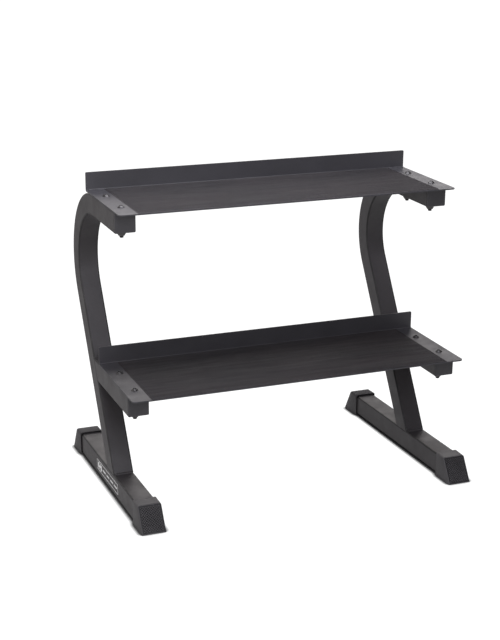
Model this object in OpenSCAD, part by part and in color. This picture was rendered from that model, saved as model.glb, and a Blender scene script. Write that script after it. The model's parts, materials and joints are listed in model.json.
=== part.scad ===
// Two-tier dumbbell rack: two side frames of bent square tube, joined by two
// folded steel shelves that carry thin rubber mats.
// +X is to the rack's right, its front faces -Y and +Z is up.  The origin is on
// the floor, at the middle of the rack's footprint.  Sizes are in millimetres.

/* [Square tube] */
// Outer width of the square tube
tube = 50; // [40:1:60]
// Wall of the square tube
tube_wall = 2; // [1.5:0.5:3]
// Outer corner radius of the square tube
tube_corner = 3; // [3:0.5:5]

/* [Side frames] */
// Distance between the middles of the two side frames
frame_spacing = 790; // [500:1:1300]
// Length of each floor runner's tube
runner_length = 523; // [430:1:700]
// Lean of the upright's straight part from vertical, in degrees
upright_lean = 30.4; // [23:0.1:34]
// Centreline radius of the bend at the upright's top
bend_radius = 156; // [120:1:200]
// Front-to-back place of the upright's centreline on top of the runner
upright_foot_y = -35; // [-60:0.5:0]
// Reach of both arms' tubes in front of the shelf lips
arm_reach = 226; // [217:1:265]
// Leg of the weld beads in the corners
weld_leg = 4; // [2:0.5:6]
// How far the welds between flush tube sides stay below the surface
weld_recess = 0.6; // [0.2:0.1:1]

/* [Shelves] */
// Height of the upper shelf's top face at its lip
upper_shelf_height = 721; // [650:1:870]
// Height of the lower shelf's top face at its lip
lower_shelf_height = 308; // [240:1:370]
// Front-to-back place of the upper shelf's lip
upper_lip_y = 99.5; // [75:0.5:120]
// Front-to-back place of the lower shelf's lip
lower_lip_y = 28.5; // [5:0.5:40]
// Forward slope of both shelves, in degrees
shelf_tilt = 1.2; // [0:0.1:4]
// Depth of each shelf in front of its lip
shelf_depth = 276; // [267:1:335]
// Height of the lip above the shelf
lip_height = 43; // [25:1:80]
// Thickness of the shelf sheet
sheet = 3; // [2:0.5:4]
// Inside radius of the fold between shelf and lip
fold_radius = 2.5; // [1:0.5:5]
// Radius of the shelf's front corners
shelf_corner = 10; // [4:1:20]
// Radius of the lip's top corners
lip_corner = 3; // [1:0.5:10]
// How far the shelf's ends stand out past the side frames
shelf_overhang = 2; // [0:0.5:10]

/* [Mats] */
// Thickness of the rubber mats
mat_thickness = 2; // [1:0.5:4]
// How far each mat laps over the arms
mat_lap = 7; // [0:0.5:10]
// Gap from the mat to the shelf's front edge and to the fold
mat_gap = 1; // [0.5:0.5:10]

/* [Feet] */
// How far the foot stands out beside the runner
foot_wall = 4; // [3.5:0.5:6]
// Gap between the runner and the foot's shell, which ribs bridge
foot_gap = 2.2; // [1:0.2:2.8]
// Width of the ribs that grip the runner
foot_rib = 3; // [2:0.5:5]
// Distance from the runner's middle to each rib
foot_rib_place = 14; // [8:1:16]
// How far the ribs start inside the foot's mouth
foot_mouth = 7; // [3:1:12]
// Thickness of the foot under and over the runner
foot_base = 5; // [3:0.5:8]
// Length of the foot along its top
foot_top_length = 36; // [34:1:60]
// Length of the foot along the floor
foot_base_length = 72; // [66:1:100]
// How far the runner goes into the foot
foot_grip = 32; // [22:1:33]
// Radius of the foot's long top edges
foot_round = 5; // [2:0.5:6]
// Clearance between the foot's ribs and the runner
foot_fit = 0.1; // [0.1:0.1:0.6]

/* [Arm caps] */
// Thickness of the cap's face
cap_face = 5; // [3:0.5:8]
// Length of the cap's plug inside the tube
cap_plug = 16; // [8:1:22]
// Wall of the cap's plug
cap_wall = 2; // [1.5:0.5:3]
// Clearance all round between plug and tube
cap_fit = 0.2; // [0.1:0.1:0.5]

/* [Bolts, washers and nuts] */
// Diameter of the shelf bolts
bolt_diameter = 10; // [8:1:12]
// Distance from the lip to the back bolts, where the bend leaves room for them
back_bolt = 79; // [55:1:105]
// Least distance from the end of the bend to the back bolts
bend_to_bolt = 14; // [12:1:40]
// Distance from the lip to the front bolts
front_bolt = 200; // [150:1:202]
// Diameter of the bolts' button heads
head_diameter = 17.5; // [16:0.5:21]
// Height of the bolts' button heads
head_height = 5.5; // [4:0.5:7]
// Size across flats of the hexagon socket
socket_flats = 6; // [4:0.5:8]
// Depth of the hexagon socket
socket_depth = 3; // [2:0.5:3.5]
// Radial clearance of the bolt holes
hole_clearance = 0.5; // [0.25:0.25:1]
// Outer diameter of the washers
washer_diameter = 20; // [18:1:24]
// Thickness of the washers
washer_thickness = 2; // [1:0.5:3]
// Size across flats of the lock nuts
nut_flats = 17; // [16:0.5:19]
// Height of the lock nut's hexagon
nut_hex_height = 7; // [5:0.5:9]
// Height of the lock nut's round collar
nut_collar_height = 3; // [2:0.5:4]
// How far the bolts stand out of the nuts
bolt_tip = 5; // [2:0.5:10]
// Radial clearance of nuts, inserts and washers on the bolts
thread_clearance = 0.05; // [0.05:0.05:0.2]

/* [Runner decal] */
// Length of the printed strip
decal_length = 182; // [120:1:230]
// Height of the printed strip
decal_height = 26; // [16:1:32]
// Width of the strip's outline
decal_line = 1.4; // [0.8:0.2:3]
// Front-to-back place of the strip's middle
decal_y = -5; // [-60:1:40]
// Thickness of the print
decal_thickness = 0.2; // [0.1:0.1:0.4]

/* [Hidden] */
$fn = 64;

// Frame
frame_x = frame_spacing/2;
runner_top = foot_base + tube;
shelf_length = frame_spacing + tube + 2*shelf_overhang;
arm_drop = sheet + tube/2;              // from a shelf's top face to the arm's centreline

// The bend's centre lies a bend radius in front of the upright's centreline and a
// bend radius under the upper arm's: c . upright_in = a and c . arm_in = b.
upright_in = [-cos(upright_lean), sin(upright_lean)];
arm_in = [sin(shelf_tilt), -cos(shelf_tilt)];
bend_a = [upright_foot_y, runner_top]*upright_in + bend_radius;
bend_b = [upper_lip_y, upper_shelf_height]*arm_in + arm_drop + bend_radius;
bend_det = upright_in.x*arm_in.y - upright_in.y*arm_in.x;
bend_y = (bend_a*arm_in.y - bend_b*upright_in.y)/bend_det;
bend_z = (bend_b*upright_in.x - bend_a*arm_in.x)/bend_det;
bend_angle = 90 + upright_lean + shelf_tilt;

// Lengths along the two straight parts, from the bend's centre
upright_length = (bend_z - bend_radius*sin(upright_lean) - runner_top)/cos(upright_lean);
arm_start = (upper_lip_y - bend_y)*cos(shelf_tilt) + (upper_shelf_height - bend_z)*sin(shelf_tilt);
upper_arm_length = arm_reach - arm_start;
back_bolt_y = max(back_bolt, arm_start + bend_to_bolt);
past_end = tube*tan(upright_lean)/2 + tube_corner;
bend_swell = 0.05;                      // extra thickness of the bend's wall, each way
least_corner = 0.5;                     // no inside corner is sharper than this
bead_length = tube - 2.4*tube_corner;   // a little less than the tube's flat side
fill_width = 0.65*tube_corner;          // width of the welds' flush fills

// Shelves and mats
mat_length = frame_spacing - tube + 2*mat_lap;
mat_back = fold_radius + mat_gap;
mat_depth = shelf_depth - mat_gap - mat_back;

// Feet and fasteners
foot_width = tube + 2*foot_wall;
foot_height = tube + 2*foot_base;
hole_radius = bolt_diameter/2 + hole_clearance;
thread_radius = bolt_diameter/2 + thread_clearance;
nut_height = nut_hex_height + nut_collar_height;
under_arm = -sheet - tube;
nut_bottom = under_arm - washer_thickness - nut_height;
bolt_length = sheet + tube + washer_thickness + nut_height + bolt_tip;
insert_radius = thread_radius + 1.6;
collar_radius = nut_flats/2 - 0.6;
dome_radius = (pow(head_diameter/2, 2) + pow(head_height, 2))/(2*head_height);
far = 2000;                             // longer than anything that is cut
over = 1;                               // how far cuts run past a face
join = 1;                               // how far the straight tube runs into its bend

paint = [0.20, 0.20, 0.21];
shelf_paint = [0.27, 0.27, 0.29];
plastic = [0.12, 0.12, 0.13];
rubber = [0.16, 0.16, 0.17];
black_steel = [0.10, 0.10, 0.11];

// ---- Places -------------------------------------------------------------

// Puts a side frame's piece, drawn around x = 0, on the rack's left or right
module on_left() translate([-frame_x, 0, 0]) children();
module on_right() translate([frame_x, 0, 0]) children();

// A shelf's own frame: its origin is the corner of shelf and lip, -Y runs down
// the shelf to its front edge and +Z stands square on the shelf
module on_upper_shelf() translate([0, upper_lip_y, upper_shelf_height])
    rotate([shelf_tilt, 0, 0]) children();
module on_lower_shelf() translate([0, lower_lip_y, lower_shelf_height])
    rotate([shelf_tilt, 0, 0]) children();

// The upright's own frame: its origin is the bend's centre and +Z runs up the
// upright's straight part
module on_upright() translate([0, bend_y, bend_z]) rotate([-upright_lean, 0, 0]) children();

// The four bolts of one shelf, in that shelf's frame
module at_bolts() for (x = [-frame_x, frame_x], y = [back_bolt_y, front_bolt])
    translate([x, -y, 0]) children();

// ---- Sections -----------------------------------------------------------

module rounded_square(size, corner) {
    flat = size - 2*corner;
    square([size, flat], center = true);
    square([flat, size], center = true);
    for (x = [-1, 1], y = [-1, 1])
        translate([x*flat/2, y*flat/2]) circle(corner);
}

module tube_outline(inset = 0)
    rounded_square(tube - 2*inset, max(tube_corner - inset, least_corner));

module tube_section(swell = 0) difference() {
    tube_outline(-swell);
    tube_outline(tube_wall + swell);
}

// ---- Side frame ---------------------------------------------------------

// Lays a section out along the runner
module along_runner(length) translate([0, length/2, foot_base + tube/2])
    rotate([90, 0, 0]) linear_extrude(length) children();

module floor_runner() color(paint) along_runner(runner_length) tube_section();

// Sweeps a section up the straight part of the upright, from "below" under the
// runner's top to "above" past the start of the bend
module up_upright(below, above = 0) on_upright()
    translate([0, bend_radius, -upright_length - below])
        linear_extrude(upright_length + below + above) children();

module below_runner_top() translate([-far/2, -far/2, runner_top - far]) cube(far);

// One tube: the leaning straight part, the bend and the upper arm.  The bend is a
// hair thicker, as a bent tube is, and the straight parts end inside its wall.
module curved_upright() color(paint) difference() {
    union() {
        up_upright(past_end, join) tube_section();
        on_upright() rotate([90, 0, 90]) rotate_extrude(angle = bend_angle)
            translate([bend_radius, 0]) rotate(90) tube_section(bend_swell);
        translate([0, bend_y, bend_z]) rotate([shelf_tilt, 0, 0]) translate([0, join, bend_radius])
            rotate([90, 0, 0]) linear_extrude(upper_arm_length + join) tube_section();
    }
    below_runner_top();
    on_upper_shelf() bolt_holes();
}

// Holes through an arm on the middle of the tube
module bolt_holes() for (y = [back_bolt_y, front_bolt])
    translate([0, -y, under_arm - over]) cylinder(r = hole_radius, h = tube + 2*over);

// Sweeps a section along the lower arm, from its front end to inside the upright
module along_lower_arm() on_lower_shelf() translate([0, runner_length - arm_reach, -arm_drop])
    rotate([90, 0, 0]) linear_extrude(runner_length) children();

// Everything from the upright's front face backwards, or from "inside" it
module behind_upright_face(inside = 0) on_upright()
    translate([-far/2, bend_radius - tube/2 + inside, -far/2]) cube(far);

module lower_arm() color(paint) difference() {
    along_lower_arm() tube_section();
    behind_upright_face();
    on_lower_shelf() bolt_holes();
}

// Weld round the upright's foot: beads in front and behind, and thin fills where
// the tubes' sides are flush
module upright_weld() color(paint) {
    difference() {
        for (side = [-1, 1])
            translate([0, upright_foot_y + side*tube/2/cos(upright_lean), runner_top]) weld_bead();
        along_runner(runner_length) tube_outline();
        up_upright(past_end) tube_outline();
    }
    difference() {
        intersection() {
            up_upright(past_end) flush_fills();
            translate([-tube, -far/2, runner_top - tube_corner]) cube([2*tube, far, tube_corner]);
        }
        along_runner(runner_length) tube_outline();
    }
}

// Weld round the lower arm's back end, made the same way
module lower_arm_weld() color(paint) {
    difference() {
        on_lower_shelf() for (z = [-sheet, under_arm])
            translate([0, upright_face_y(z), z]) weld_bead();
        along_lower_arm() tube_outline();
        up_upright(past_end) tube_outline();
    }
    difference() {
        along_lower_arm() flush_fills();
        in_front_of_upright_face();
        up_upright(past_end) tube_outline();
        behind_upright_face(tube_corner);
    }
}

// Round bar across the tube, centred on the corner that it fills
module weld_bead() rotate([0, 90, 0])
    cylinder(r = weld_leg, h = bead_length, center = true);

// Strips just inside a tube's two sides, over its corner radii
module flush_fills() for (side = [-1, 1])
    translate([side*(tube/2 - weld_recess - fill_width/2), 0])
        square([fill_width, tube - 2*tube_corner], center = true);

module in_front_of_upright_face() on_upright()
    translate([-far/2, bend_radius - tube/2 - far, -far/2]) cube(far);

// Where the upright's front face crosses height z of the lower shelf's frame
function upright_face_y(z) =
    let (turn = upright_lean + shelf_tilt,
         from_bend = [lower_lip_y - bend_y, lower_shelf_height - bend_z],
         across = [cos(upright_lean), -sin(upright_lean)])
    (bend_radius - tube/2 - from_bend*across + z*sin(turn))/cos(turn);

// ---- Feet and caps ------------------------------------------------------

// Wedge foot drawn as the front one: a sleeve over the runner with a sloped end
module foot() color(plastic) difference() {
    intersection() {
        rotate([90, 0, 90]) translate([0, 0, -foot_width/2]) linear_extrude(foot_width)
            polygon([[foot_inner_y, 0], [foot_inner_y, foot_height],
                     [foot_inner_y - foot_top_length, foot_height],
                     [foot_inner_y - foot_base_length, 0]]);
        translate([0, foot_inner_y + over, 0]) rotate([90, 0, 0]) linear_extrude(far) foot_outline();
    }
    translate([0, foot_inner_y + over, foot_base + tube/2]) rotate([90, 0, 0]) {
        linear_extrude(foot_grip + foot_fit + over) foot_pocket();
        linear_extrude(foot_mouth + over) tube_outline(-foot_gap);
    }
}
foot_inner_y = foot_grip - runner_length/2;

// The runner's room in the foot, and the gap round it that the ribs divide
module foot_pocket() {
    tube_outline(-foot_fit);
    difference() {
        tube_outline(-foot_gap);
        for (turn = [0, 90], side = [-1, 1])
            rotate(turn) translate([side*foot_rib_place, 0]) square([foot_rib, 2*tube], center = true);
    }
}

// Foot seen from its end, with rounded top edges
module foot_outline() {
    translate([-foot_width/2, 0]) square([foot_width, foot_height - foot_round]);
    translate([foot_round - foot_width/2, 0]) square([foot_width - 2*foot_round, foot_height]);
    for (side = [-1, 1])
        translate([side*(foot_width/2 - foot_round), foot_height - foot_round]) circle(foot_round);
}

module rear_foot() mirror([0, 1, 0]) foot();

// Cap on an arm's front end, in its shelf's frame
module arm_cap() color(plastic) translate([0, -arm_reach, -arm_drop]) rotate([90, 0, 0]) {
    linear_extrude(cap_face) tube_outline();
    translate([0, 0, -cap_plug]) linear_extrude(cap_plug) difference() {
        plug_outline(cap_fit);
        plug_outline(cap_fit + cap_wall);
    }
}

module plug_outline(inset)
    rounded_square(tube - 2*tube_wall - 2*inset, max(tube_corner - tube_wall - inset, least_corner));

// ---- Shelves ------------------------------------------------------------

// One sheet folded up at the back, in its own frame
module shelf() color(shelf_paint) difference() {
    union() {
        translate([0, 0, -sheet]) linear_extrude(sheet) shelf_plan();
        rotate([90, 0, 0]) translate([0, 0, -sheet]) linear_extrude(sheet) lip_front();
        translate([-shelf_length/2, -fold_radius, fold_radius]) rotate([90, 0, 90])
            linear_extrude(shelf_length) fold_section();
    }
    at_bolts() translate([0, 0, -sheet - over]) cylinder(r = hole_radius, h = sheet + 2*over);
}

// Flat of the shelf, from the fold to the front edge
module shelf_plan() {
    straight = shelf_depth - fold_radius;
    difference() {
        translate([-shelf_length/2, -shelf_depth]) square([shelf_length, straight]);
        for (side = [-1, 1])
            translate([side*shelf_length/2, -shelf_depth]) corner_cut(shelf_corner, side, 1);
    }
}

// Flat of the lip, from the fold to its top edge
module lip_front() difference() {
    translate([-shelf_length/2, fold_radius]) square([shelf_length, lip_height - fold_radius]);
    for (side = [-1, 1])
        translate([side*shelf_length/2, lip_height]) corner_cut(lip_corner, side, -1);
}

// What is cut away to round a square corner that points to (x_side, -y_side)
module corner_cut(r, x_side, y_side) difference() {
    translate([-x_side*r/2 + x_side*over/2, y_side*r/2 - y_side*over/2]) square(r + over, center = true);
    translate([-x_side*r, y_side*r]) circle(r);
}

// Quarter ring that joins the two flats
module fold_section() intersection() {
    difference() {
        circle(fold_radius + sheet);
        circle(fold_radius);
    }
    translate([0, -fold_radius - sheet]) square(fold_radius + sheet);
}

module mat() color(rubber) translate([-mat_length/2, -mat_back - mat_depth, 0])
    cube([mat_length, mat_depth, mat_thickness]);

// ---- Fasteners ----------------------------------------------------------

// Button-head bolt with a hexagon socket, head on the shelf's top face
module bolt() color(black_steel) difference() {
    union() {
        translate([0, 0, -bolt_length]) cylinder(d = bolt_diameter, h = bolt_length);
        intersection() {
            translate([0, 0, head_height - dome_radius]) sphere(dome_radius);
            cylinder(d = head_diameter, h = head_height);
        }
    }
    translate([0, 0, head_height - socket_depth])
        cylinder(d = socket_flats/cos(30), h = socket_depth + over, $fn = 6);
}

module washer() color(black_steel) translate([0, 0, under_arm - washer_thickness]) difference() {
    cylinder(d = washer_diameter, h = washer_thickness);
    translate([0, 0, -over]) cylinder(r = thread_radius, h = washer_thickness + 2*over);
}

// Lock nut: hexagon with a round collar that holds the nylon ring
module lock_nut() color(black_steel) translate([0, 0, nut_bottom]) difference() {
    union() {
        translate([0, 0, nut_collar_height]) cylinder(d = nut_flats/cos(30), h = nut_hex_height, $fn = 6);
        cylinder(r = collar_radius, h = nut_collar_height);
    }
    translate([0, 0, -over]) cylinder(r = thread_radius, h = nut_height + 2*over);
    translate([0, 0, -over]) cylinder(r = insert_radius, h = nut_collar_height + over);
}

module nut_insert() color("white") translate([0, 0, nut_bottom]) difference() {
    cylinder(r = insert_radius, h = nut_collar_height);
    translate([0, 0, -over]) cylinder(r = thread_radius, h = nut_collar_height + 2*over);
}

// ---- Decal --------------------------------------------------------------

// Printed strip on the left runner's outer side: an outline, a dumbbell sign and
// plain bars.  Drawn with x towards the rack's front.
module runner_decal() color("white")
    translate([-frame_x - tube/2 - decal_thickness, decal_y, foot_base + tube/2])
        rotate([90, 0, -90]) mirror([0, 0, 1]) linear_extrude(decal_thickness) decal_print();

module decal_print() {
    sign_length = decal_height*1.35;
    sign_x = sign_length*0.75 - decal_length/2;
    bars_x = sign_x + sign_length*0.75;
    bar_step = (decal_length/2 - bars_x)/4;
    difference() {
        square([decal_length, decal_height], center = true);
        square([decal_length - 2*decal_line, decal_height - 2*decal_line], center = true);
    }
    translate([sign_x, 0]) dumbbell_sign(sign_length);
    for (bar = [0:3])
        translate([bars_x + bar*bar_step, -decal_height*0.08])
            square([bar_step*0.75, decal_height*0.16]);
}

// Plain dumbbell seen from the side
module dumbbell_sign(length) {
    square([length, length*0.14], center = true);
    for (side = [-1, 1]) {
        translate([side*length*0.24, 0]) square([length*0.16, length*0.58], center = true);
        translate([side*length*0.40, 0]) square([length*0.12, length*0.40], center = true);
    }
}

on_left() floor_runner();  // left_floor_runner
on_right() floor_runner();  // right_floor_runner
on_left() curved_upright();  // left_curved_upright
on_right() curved_upright();  // right_curved_upright
on_left() lower_arm();  // left_lower_arm
on_right() lower_arm();  // right_lower_arm
on_left() upright_weld();  // left_upright_weld
on_right() upright_weld();  // right_upright_weld
on_left() lower_arm_weld();  // left_lower_arm_weld
on_right() lower_arm_weld();  // right_lower_arm_weld
on_left() foot();  // left_front_foot
on_right() foot();  // right_front_foot
on_left() rear_foot();  // left_rear_foot
on_right() rear_foot();  // right_rear_foot
on_left() on_upper_shelf() arm_cap();  // left_upper_arm_cap
on_right() on_upper_shelf() arm_cap();  // right_upper_arm_cap
on_left() on_lower_shelf() arm_cap();  // left_lower_arm_cap
on_right() on_lower_shelf() arm_cap();  // right_lower_arm_cap
on_upper_shelf() shelf();  // upper_shelf
on_lower_shelf() shelf();  // lower_shelf
on_upper_shelf() mat();  // upper_mat
on_lower_shelf() mat();  // lower_mat
on_upper_shelf() at_bolts() bolt();  // upper_shelf_bolts
on_lower_shelf() at_bolts() bolt();  // lower_shelf_bolts
on_upper_shelf() at_bolts() washer();  // upper_shelf_washers
on_lower_shelf() at_bolts() washer();  // lower_shelf_washers
on_upper_shelf() at_bolts() lock_nut();  // upper_shelf_lock_nuts
on_lower_shelf() at_bolts() lock_nut();  // lower_shelf_lock_nuts
on_upper_shelf() at_bolts() nut_insert();  // upper_nut_inserts
on_lower_shelf() at_bolts() nut_insert();  // lower_nut_inserts
runner_decal();  // left_runner_decal
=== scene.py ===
# Two-tier dumbbell rack: two welded side frames of bent square tube, two folded
# sheet shelves bolted across them, rubber mats and wedge feet.
# Metres, +X to the rack's right, front towards -Y, +Z up, origin on the floor.
import json
import math

import bmesh
import bpy
from mathutils import Matrix, Vector


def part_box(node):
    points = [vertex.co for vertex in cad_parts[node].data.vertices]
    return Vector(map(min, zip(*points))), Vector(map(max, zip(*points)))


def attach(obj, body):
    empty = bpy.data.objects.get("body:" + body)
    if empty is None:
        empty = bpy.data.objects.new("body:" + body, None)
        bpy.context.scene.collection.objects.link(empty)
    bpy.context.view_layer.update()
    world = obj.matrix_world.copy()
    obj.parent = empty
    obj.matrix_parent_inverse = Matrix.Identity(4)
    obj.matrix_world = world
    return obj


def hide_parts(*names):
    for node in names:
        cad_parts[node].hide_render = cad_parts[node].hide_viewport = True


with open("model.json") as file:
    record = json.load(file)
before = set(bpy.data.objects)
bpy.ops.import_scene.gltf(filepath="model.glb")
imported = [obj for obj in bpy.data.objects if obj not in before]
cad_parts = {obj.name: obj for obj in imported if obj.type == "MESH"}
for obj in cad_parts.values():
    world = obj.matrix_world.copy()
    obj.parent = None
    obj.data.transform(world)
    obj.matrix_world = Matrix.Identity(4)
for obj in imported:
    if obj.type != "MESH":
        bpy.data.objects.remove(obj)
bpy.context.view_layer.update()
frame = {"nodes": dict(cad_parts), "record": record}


# ---- Camera ---------------------------------------------------------------
# A long portrait lens, well above the upper shelf and to the left of the rack's
# front.  No shift, no depth of field.
CAMERA_AIM = Vector((0.0037, 0.117, 0.3486))
CAMERA_AZIMUTH = math.radians(-21.56)
CAMERA_HEIGHT_ANGLE = math.radians(16.51)
CAMERA_DISTANCE = 3.615

towards_camera = Vector((math.sin(CAMERA_AZIMUTH) * math.cos(CAMERA_HEIGHT_ANGLE),
                         -math.cos(CAMERA_AZIMUTH) * math.cos(CAMERA_HEIGHT_ANGLE),
                         math.sin(CAMERA_HEIGHT_ANGLE)))
camera_data = bpy.data.cameras.new("camera")
camera_data.sensor_width = 36
camera_data.lens = 79.26
camera_data.clip_start = 0.1
camera_data.clip_end = 100
camera = bpy.data.objects.new("camera", camera_data)
camera.location = CAMERA_AIM + towards_camera * CAMERA_DISTANCE
camera.rotation_euler = (-towards_camera).to_track_quat("-Z", "Y").to_euler()
bpy.context.scene.collection.objects.link(camera)
bpy.context.scene.camera = camera


# ---- Studio floor and light -----------------------------------------------
# Two pale floors that glow, dimmed where the rack nearly touches them into a painted contact
# shadow: only the camera sees one, and the other lights the rack.  Four softboxes stand close by,
# and one broad bank of light far behind.
def nodes_of(tree):
    """Empties a node tree and returns its nodes and a function that links two sockets."""
    tree.nodes.clear()
    return tree.nodes, tree.links.new


def light_bank(name, azimuth, height, spread, power, colour):
    """Far, broad, even light that comes from an azimuth (0 in front, 90 at the right) and height."""
    data = bpy.data.lights.new(name, "SUN")
    data.energy = power
    data.angle = math.radians(spread)
    data.color = colour
    light = bpy.data.objects.new(name, data)
    turn, lift = math.radians(azimuth), math.radians(height)
    from_there = Vector((math.sin(turn) * math.cos(lift), -math.cos(turn) * math.cos(lift), math.sin(lift)))
    light.rotation_euler = (-from_there).to_track_quat("-Z", "Y").to_euler()
    bpy.context.scene.collection.objects.link(light)


def softbox(name, place, aim, width, height, power, colour):
    """Rectangular softbox at a place, turned towards a point; the camera doesn't see it."""
    data = bpy.data.lights.new(name, "AREA")
    data.shape = "RECTANGLE"
    data.size = width
    data.size_y = height
    data.energy = power
    data.color = colour
    light = bpy.data.objects.new(name, data)
    light.location = place
    light.rotation_euler = (Vector(aim) - Vector(place)).to_track_quat("-Z", "Y").to_euler()
    light.visible_camera = False
    bpy.context.scene.collection.objects.link(light)


light_bank("back_bank", 172, 18, 60, 1.34, (1.0, 0.96, 0.95))
softbox("overhead_box", (0, -0.1, 1.55), (0, -0.1, 0), 1.4, 0.9, 16, (0.92, 0.93, 1.0))
softbox("front_box", (-0.5, -1.7, 1.35), (0, 0, 0.55), 1.2, 1.0, 18, (0.93, 0.93, 1.0))
softbox("left_box", (-1.7, -0.3, 0.9), (-0.3, 0, 0.4), 1.0, 1.0, 9, (1.0, 0.98, 0.95))
softbox("right_box", (1.6, -0.2, 1.2), (0.3, 0, 0.5), 1.0, 1.0, 2.2, (1.0, 0.97, 0.97))

backdrop = bpy.data.worlds.new("white_backdrop")
backdrop.use_nodes = True
backdrop_nodes, backdrop_link = nodes_of(backdrop.node_tree)
backdrop_glow = backdrop_nodes.new("ShaderNodeBackground")
backdrop_glow.inputs["Color"].default_value = (1, 1, 1, 1)
backdrop_glow.inputs["Strength"].default_value = 1.05
backdrop_link(backdrop_glow.outputs[0], backdrop_nodes.new("ShaderNodeOutputWorld").inputs["Surface"])
backdrop.cycles_visibility.diffuse = False
backdrop.cycles_visibility.glossy = False
bpy.context.scene.world = backdrop
bpy.context.scene.view_settings.view_transform = "Standard"

FLOOR_HALF = 40
CONTACT_SHADOW_REACH = 0.015     # how far from the rack the painted contact shadow reaches on the floor
CONTACT_SHADOW_FULL = 0.62       # openness under which the floor doesn't glow at all: the painted contact shadow is darkest
CONTACT_SHADOW_CLEAR = 0.97      # openness over which it glows fully, clear of the painted contact shadow


def studio_floor(name, z, glow, shade):
    """Wide grey plane that glows, but not where something nearly touches it: there the glow fades into a
    painted contact shadow.
    """
    mesh = bpy.data.meshes.new(name)
    mesh.from_pydata([(-FLOOR_HALF, -FLOOR_HALF, z), (FLOOR_HALF, -FLOOR_HALF, z),
                      (FLOOR_HALF, FLOOR_HALF, z), (-FLOOR_HALF, FLOOR_HALF, z)], [], [(0, 1, 2, 3)])
    plane = bpy.data.objects.new(name, mesh)
    bpy.context.scene.collection.objects.link(plane)
    paint = bpy.data.materials.new(name)
    paint.use_nodes = True
    nodes, link = paint.node_tree.nodes, paint.node_tree.links.new
    shader = nodes["Principled BSDF"]
    shader.inputs["Base Color"].default_value = (shade, shade, shade, 1)
    shader.inputs["Roughness"].default_value = 0.9
    shader.inputs["Specular IOR Level"].default_value = 0.0
    shader.inputs["Emission Color"].default_value = (1, 1, 1, 1)
    nearness = nodes.new("ShaderNodeAmbientOcclusion")
    nearness.inputs["Distance"].default_value = CONTACT_SHADOW_REACH
    # painted contact shadow: the floor's glow fades out where the rack is close
    contact_shadow = nodes.new("ShaderNodeMapRange")
    contact_shadow.inputs["From Min"].default_value = CONTACT_SHADOW_FULL
    contact_shadow.inputs["From Max"].default_value = CONTACT_SHADOW_CLEAR
    contact_shadow.inputs["To Min"].default_value = 0.0
    contact_shadow.inputs["To Max"].default_value = glow
    link(nearness.outputs["AO"], contact_shadow.inputs["Value"])
    link(contact_shadow.outputs[0], shader.inputs["Emission Strength"])
    mesh.materials.append(paint)
    return plane


shown_floor = studio_floor("studio_floor", 0.0, 1.1, 0.1)
shown_floor.visible_diffuse = False
shown_floor.visible_glossy = False
shown_floor.visible_shadow = False
lit_floor = studio_floor("studio_floor_glow", -0.0005, 0.35, 0.35)
lit_floor.visible_camera = False


# ---- Floor runners --------------------------------------------------------
# Two lengths of 50 mm square steel tube, laid front to back.  They are welded
# into the side frames and powder coated dark grey with them.
TUBE_CORNER = 0.003
TUBE_WALL = 0.002
runner_low, runner_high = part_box("right_floor_runner")
TUBE = runner_high.x - runner_low.x
FRAME_X = (runner_high.x + runner_low.x) / 2
RUNNER_TOP = runner_high.z


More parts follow.
